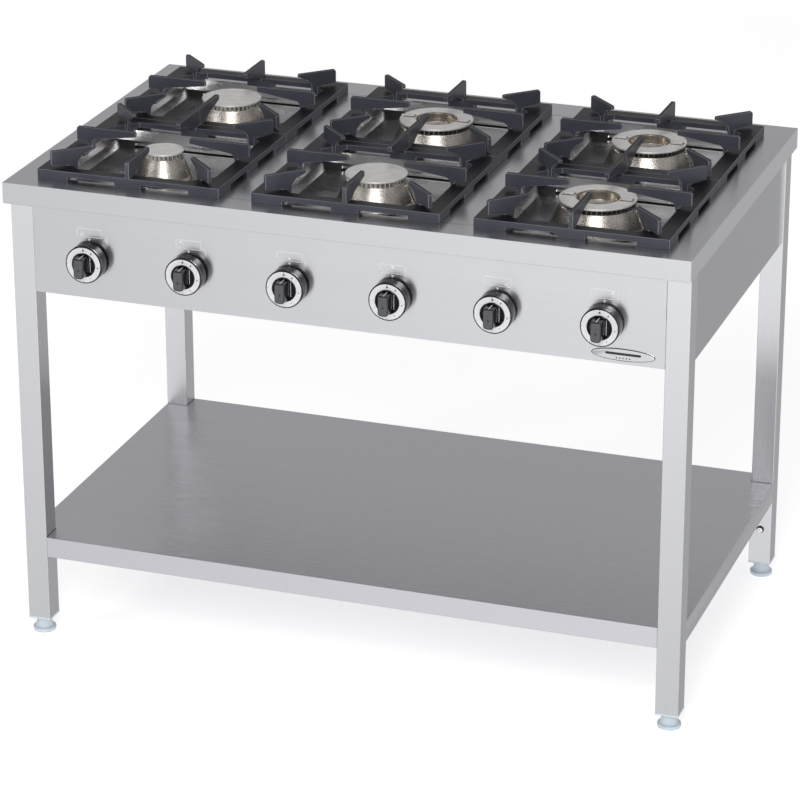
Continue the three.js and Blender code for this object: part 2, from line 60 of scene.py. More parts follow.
MM = 0.001
AXES = "XYZ"
STAND = "stand"
COLUMNS = ("left", "centre", "right")
ROWS = ("front", "rear")
PLACES = [f"{row}_{column}" for column in COLUMNS for row in ROWS]
CORNERS = [f"{end}_{side}" for side in ("left", "right") for end in ROWS]

# Turns a frame so that its Z faces the front and its Y faces up.
TO_FRONT = Matrix.Rotation(math.pi / 2, 4, "X")

# Inputs of the Mix node, for numbers and for colours; they share their names.
MIX_FACTOR = 0
MIX_NUMBERS = (2, 3)
MIX_COLOURS = (6, 7)

# ---------------------------------------------------------------- camera and light

CAMERA_PLACE = (1.898, -5.465, 2.758)
CAMERA_YAW = 0.3362
CAMERA_PITCH = -0.3873
CAMERA_ROLL = -0.0013
CAMERA_LENS = 158.8

PALE = (0.90, 0.90, 0.905)
WHITE = (1, 1, 1, 1)
FLOOR_HALF = 20
FLOOR_GLOW = 0.56

# Brightness of the studio by direction: (height, level) from straight down at 0 to straight up at 1.
FRONT_LIGHT = [(0, 0.72), (0.28, 0.80), (0.34, 1.46), (0.46, 1.16), (0.58, 0.62), (0.75, 0.5), (1, 0.45)]
FRONT_LEFT_LIGHT = [(0, 0.58), (0.28, 0.62), (0.34, 0.84), (0.46, 0.66), (0.58, 0.2), (0.75, 0.18), (1, 0.35)]
REAR_LIGHT = [(0, 0.42), (0.34, 0.50), (0.5, 0.50), (0.66, 0.45), (0.8, 0.42), (1, 0.45)]
COOL = 1.015

# Where one light turns into the next, as the X or Y of a direction of length 1.
LEFT_TO_FRONT = (-0.56, -0.22)
FRONT_TO_REAR = (-0.3, 0.45)


def camera():
    """Long lens at the photograph's viewing angle."""
    data = bpy.data.cameras.new("camera")
    data.lens = CAMERA_LENS
    data.sensor_width = 36
    data.clip_end = 60
    eye = bpy.data.objects.new("camera", data)
    bpy.context.scene.collection.objects.link(eye)
    turn = Matrix.Rotation(CAMERA_YAW, 4, "Z") @ Matrix.Rotation(math.pi / 2 + CAMERA_PITCH, 4, "X")
    eye.matrix_world = Matrix.Translation(CAMERA_PLACE) @ turn @ Matrix.Rotation(CAMERA_ROLL, 4, "Z")
    bpy.context.scene.camera = eye


def softbox(name, place, aim, size, watts):
    """Rectangular area light at a place, facing a point."""
    data = bpy.data.lights.new(name, "AREA")
    data.shape = "RECTANGLE"
    data.size, data.size_y = size
    data.energy = watts
    lamp = bpy.data.objects.new(name, data)
    lamp.location = place
    lamp.rotation_euler = (Vector(aim) - Vector(place)).to_track_quat("-Z", "Y").to_euler()
    bpy.context.scene.collection.objects.link(lamp)


def height_ramp(nodes, link, height, stops):
    """Brightness by height of direction, a little cool."""
    ramp = nodes.new("ShaderNodeValToRGB")
    elements = ramp.color_ramp.elements
    elements[0].position, elements[1].position = stops[0][0], stops[-1][0]
    for place, _ in stops[1:-1]:
        elements.new(place)
    for element, (_, level) in zip(elements, stops):
        element.color = (level, level, level * COOL, 1)
    link(height, ramp.inputs["Fac"])
    return ramp.outputs["Color"]


def blend(nodes, link, low, high, value, ends):
    """Colour between two inputs, as a value runs from the first to the second of its ends."""
    span = nodes.new("ShaderNodeMapRange")
    span.interpolation_type = "SMOOTHSTEP"
    span.inputs["From Min"].default_value, span.inputs["From Max"].default_value = ends
    mix = nodes.new("ShaderNodeMix")
    mix.data_type = "RGBA"
    link(value, span.inputs["Value"])
    link(span.outputs["Result"], mix.inputs[MIX_FACTOR])
    link(low, mix.inputs[MIX_COLOURS[0]])
    link(high, mix.inputs[MIX_COLOURS[1]])
    return mix.outputs[2]


def room_light(nodes, link):
    """Colour of the soft studio round the object: bright in front, dimmer on the left and behind."""
    where = nodes.new("ShaderNodeTexCoord")
    split = nodes.new("ShaderNodeSeparateXYZ")
    height = nodes.new("ShaderNodeMapRange")
    height.inputs["From Min"].default_value = -1
    height.inputs["From Max"].default_value = 1
    link(where.outputs["Generated"], split.inputs[0])
    link(split.outputs["Z"], height.inputs["Value"])
    up = height.outputs["Result"]
    front = height_ramp(nodes, link, up, FRONT_LIGHT)
    front_left = height_ramp(nodes, link, up, FRONT_LEFT_LIGHT)
    rear = height_ramp(nodes, link, up, REAR_LIGHT)
    ahead = blend(nodes, link, front_left, front, split.outputs["X"], LEFT_TO_FRONT)
    return blend(nodes, link, ahead, rear, split.outputs["Y"], FRONT_TO_REAR)


def world():
    """White backdrop for the eye, and the studio's light for everything else."""
    space = bpy.data.worlds.new("studio")
    bpy.context.scene.world = space
    space.use_nodes = True
    nodes, link = space.node_tree.nodes, space.node_tree.links.new
    nodes.clear()
    out = nodes.new("ShaderNodeOutputWorld")
    mix = nodes.new("ShaderNodeMixShader")
    seen = nodes.new("ShaderNodeBackground")
    lit = nodes.new("ShaderNodeBackground")
    path = nodes.new("ShaderNodeLightPath")
    seen.inputs["Color"].default_value = WHITE
    link(room_light(nodes, link), lit.inputs["Color"])
    link(path.outputs["Is Camera Ray"], mix.inputs["Fac"])
    link(lit.outputs[0], mix.inputs[1])
    link(seen.outputs[0], mix.inputs[2])
    link(mix.outputs[0], out.inputs["Surface"])


def pale_floor():
    """Large pale floor that glows a little, so that it fades into the backdrop."""
    corners = [(x * FLOOR_HALF, y * FLOOR_HALF, 0) for x, y in ((-1, -1), (1, -1), (1, 1), (-1, 1))]
    mesh = bpy.data.meshes.new("floor")
    mesh.from_pydata(corners, [], [(0, 1, 2, 3)])
    floor = bpy.data.objects.new("floor", mesh)
    floor.visible_glossy = False
    bpy.context.scene.collection.objects.link(floor)
    paint = new_material("floor_paint", PALE, 0.8, 0)
    tree = Tree(paint)
    tree.tone(PALE, (0.97, 0.97, 0.975), tree.noise(1.5, detail=2))
    tree.shader.inputs["Emission Color"].default_value = WHITE
    tree.shader.inputs["Emission Strength"].default_value = FLOOR_GLOW
    floor.data.materials.append(paint)


def studio():
    """Room light, two lamps and the floor."""
    world()
    softbox("main", (0.95, -3.8, 2.9), (0, 0, 0.7), (1.2, 1.5), 62)
    softbox("key", (-2.6, -2.2, 2.6), (0, 0, 0.85), (0.8, 0.8), 14)
    pale_floor()


# ---------------------------------------------------------------- node helpers


def new_material(name, color, roughness, metallic):
    """Material with a Principled shader and its main values."""
    material = bpy.data.materials.new(name)
    material.use_nodes = True
    shader = material.node_tree.nodes["Principled BSDF"]
    shader.inputs["Base Color"].default_value = (*color, 1)
    shader.inputs["Roughness"].default_value = roughness
    shader.inputs["Metallic"].default_value = metallic
    return material


class Tree:
    """Short calls for the node chains that the materials share."""

    def __init__(self, material):
        self.nodes = material.node_tree.nodes
        self.join = material.node_tree.links.new
        self.shader = self.nodes["Principled BSDF"]

    def place(self, scale=(1, 1, 1), coords="Object", shift=(0, 0, 0)):
        """Coordinates on the surface, scaled and shifted."""
        where = self.nodes.new("ShaderNodeTexCoord")
        mapping = self.nodes.new("ShaderNodeMapping")
        mapping.inputs["Scale"].default_value = scale
        mapping.inputs["Location"].default_value = shift
        self.join(where.outputs[coords], mapping.inputs["Vector"])
        return mapping.outputs["Vector"]

    def noise(self, scale, detail=3, rough=0.5, stretch=(1, 1, 1)):
        node = self.nodes.new("ShaderNodeTexNoise")
        node.inputs["Scale"].default_value = scale
        node.inputs["Detail"].default_value = detail
        node.inputs["Roughness"].default_value = rough
        self.join(self.place(stretch), node.inputs["Vector"])
        return node.outputs["Fac"]

    def tone(self, dark, light, factor, low=0.3, high=0.7):
        """Base colour between two tones, as a factor runs from low to high."""
        node = self.nodes.new("ShaderNodeValToRGB")
        stops = node.color_ramp.elements
        stops[0].position, stops[0].color = low, (*dark, 1)
        stops[1].position, stops[1].color = high, (*light, 1)
        self.join(factor, node.inputs["Fac"])
        self.join(node.outputs["Color"], self.shader.inputs["Base Color"])

    def gloss(self, factor, low, high):
        """Roughness between two values, by the middle half of a factor's range."""
        node = self.nodes.new("ShaderNodeMapRange")
        node.inputs["From Min"].default_value = 0.25
        node.inputs["From Max"].default_value = 0.75
        node.inputs["To Min"].default_value = low
        node.inputs["To Max"].default_value = high
        self.join(factor, node.inputs["Value"])
        self.join(node.outputs["Result"], self.shader.inputs["Roughness"])

    def facing(self, axis, low, high):
        """0 to 1 as the surface's own direction along an axis, either way, runs from low to high."""
        where = self.nodes.new("ShaderNodeTexCoord")
        split = self.nodes.new("ShaderNodeSeparateXYZ")
        size = self.nodes.new("ShaderNodeMath")
        size.operation = "ABSOLUTE"
        node = self.nodes.new("ShaderNodeMapRange")
        node.inputs["From Min"].default_value = low
        node.inputs["From Max"].default_value = high
        self.join(where.outputs["Normal"], split.inputs[0])
        self.join(split.outputs[axis], size.inputs[0])
        self.join(size.outputs[0], node.inputs["Value"])
        return node.outputs["Result"]

    def sum(self, a, b, share):
        """Two factors in one, with a share of the second."""
        node = self.nodes.new("ShaderNodeMix")
        node.inputs[MIX_FACTOR].default_value = share
        self.join(a, node.inputs[MIX_NUMBERS[0]])
        self.join(b, node.inputs[MIX_NUMBERS[1]])
        return node.outputs[0]

    def bump(self, height, strength, distance):
        node = self.nodes.new("ShaderNodeBump")
        node.inputs["Strength"].default_value = strength
        node.inputs["Distance"].default_value = distance
        self.join(height, node.inputs["Height"])
        self.join(node.outputs["Normal"], self.shader.inputs["Normal"])


# ---------------------------------------------------------------- materials

FINE_GRAIN = (4.0, 2400.0)
BROAD_GRAIN = (1.1, 14.0)
GRAIN_STRETCH = 0.7


def along(grain, scales):
    """Noise scales on the three axes: the first along the grain, the second across it."""
    return [scales[0] if axis == grain else scales[1] for axis in AXES]


def brushed(name, grain, dark, light, roughness):
    """Stainless sheet with a fine grain along one axis."""
    material = new_material(name, light, roughness, 1)
    tree = Tree(material)
    fine = tree.noise(1, detail=3, rough=0.6, stretch=along(grain, FINE_GRAIN))
    broad = tree.noise(1, detail=2, stretch=along(grain, BROAD_GRAIN))
    both = tree.sum(fine, broad, 0.4)
    tree.tone(dark, light, both)
    tree.gloss(both, roughness * 0.9, roughness * 1.15)
    tree.bump(fine, 0.03, 0.0001)
    tree.shader.inputs["Anisotropic"].default_value = GRAIN_STRETCH
    tangent = tree.nodes.new("ShaderNodeTangent")
    tangent.direction_type = "RADIAL"
    tangent.axis = grain
    tree.join(tangent.outputs["Tangent"], tree.shader.inputs["Tangent"])
    return material


def pressed_steel():
    """Satin pan steel: faint drawing marks, and painted shade that darkens the side walls facing left and
    right.
    """
    material = new_material("pressed_steel", (0.75, 0.75, 0.76), 0.28, 1)
    tree = Tree(material)
    haze = tree.noise(16, detail=4)
    scratch = tree.noise(1, detail=2, stretch=(240, 8, 240))
    both = tree.sum(haze, scratch, 0.15)
    # Painted shade: the walls facing left and right are made darker than the floor.
    painted_wall_shade = tree.sum(both, tree.facing("X", 0.2, 0.8), 0.7)
    tree.tone((0.80, 0.80, 0.81), (0.40, 0.385, 0.375), painted_wall_shade, 0.1, 0.85)
    tree.gloss(both, 0.25, 0.31)
    tree.bump(haze, 0.01, 0.0003)
    return material


def cast_iron(name, dark, light):
    """Satin blue-black iron: sand-cast grain, and painted light: upright faces paler, flat tops darker."""
    roughness = 0.28
    material = new_material(name, light, roughness, 0)
    tree = Tree(material)
    grain = tree.noise(620, detail=4, rough=0.65)
    patch = tree.noise(17, detail=4)
    # Painted light and shade by the way a face points: upright faces paler, flat tops darker.
    painted_upright_light = tree.facing("Z", 0.95, 0.25)
    tree.tone(dark, light, tree.sum(tree.sum(patch, grain, 0.3), painted_upright_light, 0.5), 0.24, 0.84)
    tree.gloss(patch, roughness, roughness + 0.15)
    tree.shader.inputs["Specular IOR Level"].default_value = 0.25
    tree.bump(grain, 0.28, 0.0006)
    return material


def rough_casting():
    """Nickel-plated sand casting of the burner bodies."""
    material = new_material("rough_casting", (0.66, 0.61, 0.54), 0.3, 1)
    tree = Tree(material)
    pits = tree.noise(760, detail=3, rough=0.55)
    cloud = tree.noise(24, detail=3)
    tree.tone((0.30, 0.27, 0.235), (0.66, 0.625, 0.57), tree.sum(pits, cloud, 0.35), 0.36, 0.64)
    tree.gloss(pits, 0.2, 0.34)
    tree.bump(pits, 0.42, 0.0008)
    return material


def satin_cap():
    """Machined light alloy with fine rings round the middle of each cap."""
    material = new_material("satin_cap", (0.88, 0.86, 0.83), 0.42, 0.6)
    tree = Tree(material)
    rings = tree.nodes.new("ShaderNodeTexWave")
    rings.wave_type = "RINGS"
    rings.rings_direction = "Z"
    rings.inputs["Scale"].default_value = 24
    rings.inputs["Distortion"].default_value = 0.4
    tree.join(tree.place(coords="Generated", shift=(-0.5, -0.5, 0)), rings.inputs["Vector"])
    cloud = tree.noise(60, detail=4)
    both = tree.sum(cloud, rings.outputs["Fac"], 0.25)
    tree.tone((0.80, 0.775, 0.745), (0.96, 0.945, 0.92), both)
    tree.gloss(cloud, 0.34, 0.5)
    tree.bump(both, 0.08, 0.0003)
    return material


def plain(name, dark, light, roughness, metallic, scale, bump):
    """A solid material with a fine mottle in tone, gloss and height."""
    material = new_material(name, light, roughness, metallic)
    tree = Tree(material)
    mottle = tree.noise(scale, detail=4, rough=0.6)
    tree.tone(dark, light, mottle)
    tree.gloss(mottle, roughness * 0.8, roughness * 1.2)
    tree.bump(mottle, bump, 0.0003)
    return material


def foot_nylon():
    """Pale blue nylon that lets a little light in."""
    material = plain("foot_nylon", (0.58, 0.65, 0.71), (0.68, 0.75, 0.80), 0.36, 0, 120, 0.05)
    shader = material.node_tree.nodes["Principled BSDF"]
    shader.inputs["Subsurface Weight"].default_value = 0.25
    shader.inputs["Subsurface Radius"].default_value = (0.004, 0.005, 0.006)
    return material


LOOKS = {
    "sheet_x": brushed("brushed_sheet_x", "X", (0.61, 0.615, 0.63), (0.69, 0.695, 0.71), 0.24),
    "sheet_y": brushed("brushed_sheet_y", "Y", (0.60, 0.605, 0.62), (0.68, 0.685, 0.70), 0.24),
    # Paler copy of the sheet for the ends of the skirt: painted light.
    "lit_skirt_end": brushed("brushed_skirt_end", "Y", (0.67, 0.675, 0.69), (0.72, 0.725, 0.74), 0.24),
    # Darker copy of the sheet for the side panels: painted shade.
    "side": brushed("brushed_side_painted_shade", "Y", (0.515, 0.52, 0.535), (0.545, 0.55, 0.565), 0.26),
    "tube": brushed("brushed_tube", "Z", (0.675, 0.68, 0.695), (0.72, 0.725, 0.74), 0.27),
    "shelf": brushed("brushed_shelf", "X", (0.66, 0.65, 0.685), (0.71, 0.70, 0.735), 0.27),
    "pan": pressed_steel(),
    "iron": cast_iron("cast_iron", (0.004, 0.004, 0.006), (0.074, 0.076, 0.097)),
    # Paler iron for the rounded edges: partly wear, partly a painted highlight.
    "iron_edge_wear_and_highlight": cast_iron("rubbed_and_highlit_iron", (0.060, 0.063, 0.075), (0.24, 0.248, 0.275)),
    "casting": rough_casting(),
    "cap": satin_cap(),
    "black": plain("knob_black", (0.008, 0.008, 0.010), (0.018, 0.018, 0.022), 0.17, 0, 500, 0.03),
    "grip_face": plain("knob_grip_face", (0.060, 0.063, 0.072), (0.085, 0.088, 0.10), 0.34, 0, 700, 0.12),
    "dial": plain("dial_white", (0.68, 0.685, 0.71), (0.74, 0.745, 0.765), 0.4, 0, 200, 0.03),
    "chrome": plain("bezel_chrome", (0.035, 0.032, 0.034), (0.065, 0.06, 0.062), 0.14, 1, 90, 0.03),
    "mark": plain("dial_mark", (0.010, 0.010, 0.012), (0.02, 0.02, 0.023), 0.5, 0, 400, 0.03),
    "faint": plain("faint_mark", (0.80, 0.805, 0.82), (0.86, 0.865, 0.88), 0.5, 0.2, 400, 0.03),
    "steel": plain("turned_steel", (0.50, 0.50, 0.52), (0.66, 0.66, 0.68), 0.25, 1, 500, 0.08),
    "screw": plain("bright_screw", (0.84, 0.84, 0.85), (0.93, 0.93, 0.94), 0.14, 1, 300, 0.04),
    "brass": plain("brass", (0.50, 0.37, 0.14), (0.68, 0.53, 0.25), 0.3, 1, 220, 0.12),
    "pipe": plain("gas_pipe", (0.42, 0.37, 0.22), (0.56, 0.50, 0.31), 0.45, 0.6, 150, 0.15),
    "nylon": foot_nylon(),
    # Black for painted shade: the ring caps' port recesses, the shadow round their tabs, and the angles under
    # the air slots.
    "shade_black": plain("painted_shade_black", (0.012, 0.011, 0.010), (0.03, 0.027, 0.024), 0.5, 0, 300, 0.1),
    # Darker cap metal: painted shade in the ring caps' bowls and in the port bands; also the tab borders.
    "bowl": plain("cap_bowl", (0.42, 0.38, 0.34), (0.62, 0.575, 0.52), 0.24, 1, 80, 0.08),
}


# ---------------------------------------------------------------- places and outlines


def middle(node):
    """Middle of a node's box."""
    low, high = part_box(node)
    return (Vector(low) + Vector(high)) / 2


def extent(node, axis):
    """Length of a node's box along an axis, in mm."""
    low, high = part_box(node)
    k = AXES.index(axis)
    return (high[k] - low[k]) / MM


def standing(node):
    """Frame at the middle of a node's underside, Z up."""
    low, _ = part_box(node)
    centre = middle(node)
    return Matrix.Translation((centre.x, centre.y, low[2]))


def facing_cook(node):
    """Frame at the middle of a node's back, Z towards the front and Y up."""
    _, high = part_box(node)
    centre = middle(node)
    return Matrix.Translation((centre.x, high[1], centre.z)) @ TO_FRONT


def moved(place, x, y):
    """A frame moved along its own X and Y, in mm."""
    return place @ Matrix.Translation((x * MM, y * MM, 0))


def oval(width, height, steps):
    """Outline of an ellipse round the origin."""
    angles = [2 * math.pi * i / steps for i in range(steps)]
    return [(width / 2 * math.cos(a), height / 2 * math.sin(a)) for a in angles]


def pill(length, width, steps=6):
    """Outline of a bar with round ends, along X."""
    half = (length - width) / 2
    points = []
    for centre, start in ((half, -90), (-half, 90)):
        for i in range(steps + 1):
            a = math.radians(start + 180 * i / steps)
            points.append((centre + width / 2 * math.cos(a), width / 2 * math.sin(a)))
    return points


def rectangle(width, height):
    """Outline of a rectangle round the origin."""
    x, y = width / 2, height / 2
    return [(-x, -y), (x, -y), (x, y), (-x, y)]


# ---------------------------------------------------------------- mesh helpers

LONG = 3.0
SUPPORT = 0.15
WELD = 1e-6
FLAT_ANGLE = 0.3


def supported(profile, toothed):
    """The profile with a point close to each end of its long stretches, so that flats stay flat when shaded.

    The second value is the toothed points' numbers in the new profile.
    """
    points, numbers = [], set()
    for k, (start, end) in enumerate(zip(profile, profile[1:] + profile[-1:])):
        if k in toothed:
            numbers.add(len(points))
        points.append(start)
        length = math.hypot(end[0] - start[0], end[1] - start[1])
        if length < LONG or k in toothed or k + 1 in toothed:
            continue
        for share in (SUPPORT / length, 1 - SUPPORT / length):
            radius, height = (a + share * (b - a) for a, b in zip(start, end))
            if radius > SUPPORT:
                points.append((radius, height))
    return points, numbers


def shade(mesh, angle):
    """Smooth shading, with the edges sharper than an angle in degrees kept sharp."""
    mesh.polygons.foreach_set("use_smooth", [True] * len(mesh.polygons))
    mesh.set_sharp_from_angle(angle=math.radians(angle))


class Piece:
    """One visible piece in the making: a mesh with named looks, of which the first is the usual one."""

    def __init__(self, name, *looks):
        self.name = name
        self.looks = looks
        self.bm = bmesh.new()

    def number(self, look):
        return self.looks.index(look) if look else 0

    def ring(self, radius, height, place, segments, bite):
        """Points of one ring; every other pair of points is drawn in by the bite."""
        if radius == 0:
            return [self.bm.verts.new(place @ Vector((0, 0, height * MM)))]
        points = []
        for i in range(segments):
            reach = radius - bite if (i // 2) % 2 else radius
            angle = 2 * math.pi * i / segments
            point = Vector((reach * math.cos(angle), reach * math.sin(angle), height)) * MM
            points.append(self.bm.verts.new(place @ point))
        return points

    def turned(self, profile, place, segments=96, look=None, toothed=(), bite=0, recess=None, tooth=None):
        """Turns [radius, height] points in mm about Z.

        The toothed points are cut into teeth, a bite deep, with looks of their own on and between the teeth.
        """
        profile, toothed = supported(profile, toothed)
        rings = [
            self.ring(radius, height, place, segments, bite if k in toothed else 0)
            for k, (radius, height) in enumerate(profile)
        ]
        for k, (low, high) in enumerate(zip(rings, rings[1:])):
            cut = k in toothed and k + 1 in toothed
            for i in range(segments):
                j = (i + 1) % segments
                if len(low) == 1:
                    corners = [low[0], high[j], high[i]]
                elif len(high) == 1:
                    corners = [low[i], low[j], high[0]]
                else:
                    corners = [low[i], low[j], high[j], high[i]]
                between = recess if i % 4 > 1 else tooth
                self.bm.faces.new(corners).material_index = self.number(between if cut else look)

    def slab(self, outline, low, high, place, edge=0.0, look=None, steps=2):
        """Raises an outline in mm from low to high, with its edges rounded."""
        bottom = [self.bm.verts.new(place @ (Vector((x, y, low)) * MM)) for x, y in outline]
        top = [self.bm.verts.new(place @ (Vector((x, y, high)) * MM)) for x, y in outline]
        faces = [self.bm.faces.new(list(reversed(bottom))), self.bm.faces.new(top)]
        for i in range(len(outline)):
            j = (i + 1) % len(outline)
            faces.append(self.bm.faces.new([bottom[i], bottom[j], top[j], top[i]]))
        for face in faces:
            face.material_index = self.number(look)
        if edge:
            edges = list(dict.fromkeys(e for f in faces for e in f.edges))
            bmesh.ops.bevel(
                self.bm, geom=edges, offset=edge * MM, segments=steps,
                affect="EDGES", profile=0.6, clamp_overlap=True,
            )

    def finish(self, body, slot, *nodes, smooth=38):
        """Makes the object, on its body, standing for the nodes given; the slot is not used."""
        bmesh.ops.recalc_face_normals(self.bm, faces=self.bm.faces)
        mesh = bpy.data.meshes.new(self.name)
        self.bm.to_mesh(mesh)
        self.bm.free()
        for look in self.looks:
            mesh.materials.append(LOOKS[look])
        shade(mesh, smooth)
        piece = bpy.data.objects.new(self.name, mesh)
        bpy.context.scene.collection.objects.link(piece)
        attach(piece, body)
        if nodes:
            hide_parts(*nodes)


def solid_mesh(node, pierced):
    """Mesh of a CAD solid, with its flat triangles joined unless the sheet is pierced."""
    bm = bmesh.new()
    bm.from_mesh(frame["nodes"][node].data)
    bmesh.ops.remove_doubles(bm, verts=bm.verts, dist=WELD)
    if not pierced:
        bmesh.ops.dissolve_limit(bm, angle_limit=math.radians(FLAT_ANGLE), verts=bm.verts, edges=bm.edges)
    mesh = bpy.data.meshes.new(f"{node}_look")
    bm.to_mesh(mesh)
    bm.free()
    return mesh


def refined(node, body, look, edge, steps=2, limit=30, edge_look=None, smooth=False, pierced=False):
    """The CAD solid with its edges rounded by a width in mm, standing for its node.

    Only the edges sharper than the limit, in degrees, are rounded; they can have a look of their own.
    """
    mesh = solid_mesh(node, pierced)
    mesh.materials.clear()
    mesh.materials.append(LOOKS[look])
    mesh.materials.append(LOOKS[edge_look or look])
    mesh.polygons.foreach_set("use_smooth", [smooth] * len(mesh.polygons))
    mesh.polygons.foreach_set("material_index", [0] * len(mesh.polygons))
    piece = bpy.data.objects.new(f"{node}_look", mesh)
    bpy.context.scene.collection.objects.link(piece)
    rounding = piece.modifiers.new("edges", "BEVEL")
    rounding.width = edge * MM
    rounding.segments = steps
    rounding.limit_method = "ANGLE"
    rounding.angle_limit = math.radians(limit)
    rounding.harden_normals = smooth
    rounding.material = 1
    rounding.miter_outer = "MITER_ARC"
    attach(piece, body)
    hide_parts(node)
    return piece


# ---------------------------------------------------------------- casing

SIDEWAYS = 0.7
SUNK = -0.4


def worktop():
    """Frame round the wells; the ends of its skirt get a paler copy of its sheet, painted light."""
    piece = refined("worktop", STAND, "sheet_x", 0.7)
    piece.data.materials.append(LOOKS["lit_skirt_end"])
    for face in piece.data.polygons:
        if abs(face.normal.x) > SIDEWAYS:
            face.material_index = len(piece.data.materials) - 1


def sheet_metal():
    """Casing, shelf, legs and wells, each from its solid."""
    worktop()
    for node in ("control_panel", "back_panel"):
        refined(node, STAND, "sheet_x", 0.7, pierced=True)
    for side in ("left", "right"):
        # The side panels take the darker side look, painted shade.
        refined(f"side_panel_{side}", STAND, "side", 0.7)
        refined(f"divider_strip_{side}", STAND, "sheet_y", 0.5)
    refined("shelf", STAND, "shelf", 0.8)
    for corner in CORNERS:
        refined(f"leg_{corner}", STAND, "tube", 1.4, steps=3)
    for column in COLUMNS:
        refined(f"well_pan_{column}", STAND, "pan", 0.8, limit=18)


def seams():
    """Dark butt joints where the divider strips meet the worktop's front and rear."""
    for side in ("left", "right"):
        node = f"divider_strip_{side}"
        low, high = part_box(node)
        joint = rectangle(extent(node, "X"), 0.9)
        piece = Piece(f"seams_{side}", "mark")
        for y in (low[1], high[1]):
            piece.slab(joint, SUNK, 0.05, Matrix.Translation((middle(node).x, y, high[2])))
        piece.finish(STAND, "brushed_steel_skin")


def skirt_shade_line():
    """Painted shade: a darker line along the lower edge of the front skirt, above the recessed control panel.
    """
    low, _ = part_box("worktop")
    place = Matrix.Translation((middle("worktop").x, low[1], low[2])) @ TO_FRONT
    piece = Piece("skirt_shade_line", "steel")
    piece.slab(rectangle(extent("worktop", "X") - 3, 1.8), SUNK, 0.08, place)
    piece.finish(STAND, "brushed_steel_skin")


# ---------------------------------------------------------------- shelf, legs and feet

GAP = 1.1
PLUG_HOLE = 12.4
PLUG_DEPTH = 3.4
PLUG_RIM = 0.35
STEM_RADIUS = 5
STEM_START = 27.7


def shelf_gap(corner):
    """Dark line round the inner faces of a leg where the shelf's notch meets it."""
    node = f"leg_{corner}"
    _, shelf_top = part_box("shelf")
    centre = middle(node)
    side = extent(node, "X")
    inward = [-math.copysign(GAP, centre.x), -math.copysign(GAP, centre.y)]
    place = moved(Matrix.Translation((centre.x, centre.y, shelf_top[2])), *inward)
    piece = Piece(f"shelf_gap_{corner}", "mark")
    piece.slab(rectangle(side, side), SUNK, 0.1, place)
    piece.finish(STAND, "frame_steel")


def screw_foot(corner):
    """Nylon foot: a round pad, a bell-shaped neck and the stem."""
    node = f"foot_{corner}"
    place = standing(node)
    radius = extent(node, "X") / 2
    top = extent(node, "Z")
    piece = Piece(f"{node}_look", "nylon", "steel")
    pad = [
        (0, 0), (radius - 3, 0), (radius - 1.2, 0.4), (radius - 0.3, 1.6), (radius, 3.2), (radius, 6.4),
        (radius - 0.5, 7.6), (radius - 1.6, 8.4), (radius - 4, 9.1),
    ]
    neck = [(16, 10.6), (14.6, 13), (13.8, 17), (13.4, 22), (13.2, 26), (12.6, 27.3)]
    stem = [(STEM_RADIUS, STEM_START), (STEM_RADIUS, top - 0.6), (STEM_RADIUS - 0.6, top), (0, top)]
    piece.turned(pad + neck + stem[:1], place, 64)
    piece.turned(stem, place, 32, look="steel")
    piece.finish(node, "foot_plastic", node)


def leg_plug(corner):
    """Rim of the plastic plug at the lower end of a leg, in four bars round the stem's hole."""
    node = f"leg_{corner}"
    place = standing(node)
    outer = extent(node, "X") / 2 + PLUG_RIM
    inner = PLUG_HOLE / 2
    bar = [(inner, -inner), (outer, -inner), (outer, outer), (inner, outer)]
    piece = Piece(f"leg_plug_{corner}", "nylon")
    for quarter in range(4):
        turn = Matrix.Rotation(quarter * math.pi / 2, 4, "Z")
        piece.slab(bar, 0, PLUG_DEPTH, place @ turn, 0.3)
    piece.finish(STAND, "foot_plastic")


# ---------------------------------------------------------------- wells and burners

WELL_REAR = 148
BAFFLE_HALF = 148
PORT_PITCH = 8.6
RING_CAP_RADIUS = 60
TAB_RISE = 2.5
TAB_PLACE = 50
RING_HOLE = 37
CAP_UNDERSIDE = -14.7
RIB_WIDTH = 9.0
HEAD_HEIGHT = 41.7
HEAD_INSET = 18
NECK_RADIUS = 26
BORE = 20

# Bowl of a ring cap, as [radius, height] under its top face.
RING_BOWL = [
    (37.4, 0), (37.1, -0.35), (RING_HOLE, -1.5), (35.3, -1.7), (35.0, -2.1), (34.6, -9), (33.6, -15.6),
    (31.4, -18.8), (28, -20.8), (20, -21.9), (0, -22),
]


def air_baffle(here):
    """Dark angle under the air slot at the rear of a well, so that no daylight comes through; its black is
    painted shade for the dark inside of the casing.
    """
    column = here.split("_")[1]
    low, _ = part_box(f"well_pan_{column}")
    centre = middle(f"burner_body_{here}")
    place = Matrix.Translation((centre.x, centre.y + WELL_REAR * MM, low[2]))
    sideways = Matrix.Rotation(math.pi / 2, 4, "Z") @ TO_FRONT
    angle = [(-16, -2), (7, -2), (7, 20), (6, 20), (6, -1), (-16, -1)]
    piece = Piece(f"air_baffle_{here}", "shade_black")
    piece.slab(angle, -BAFFLE_HALF, BAFFLE_HALF, place @ sideways)
    piece.finish(STAND, "pressed_steel")


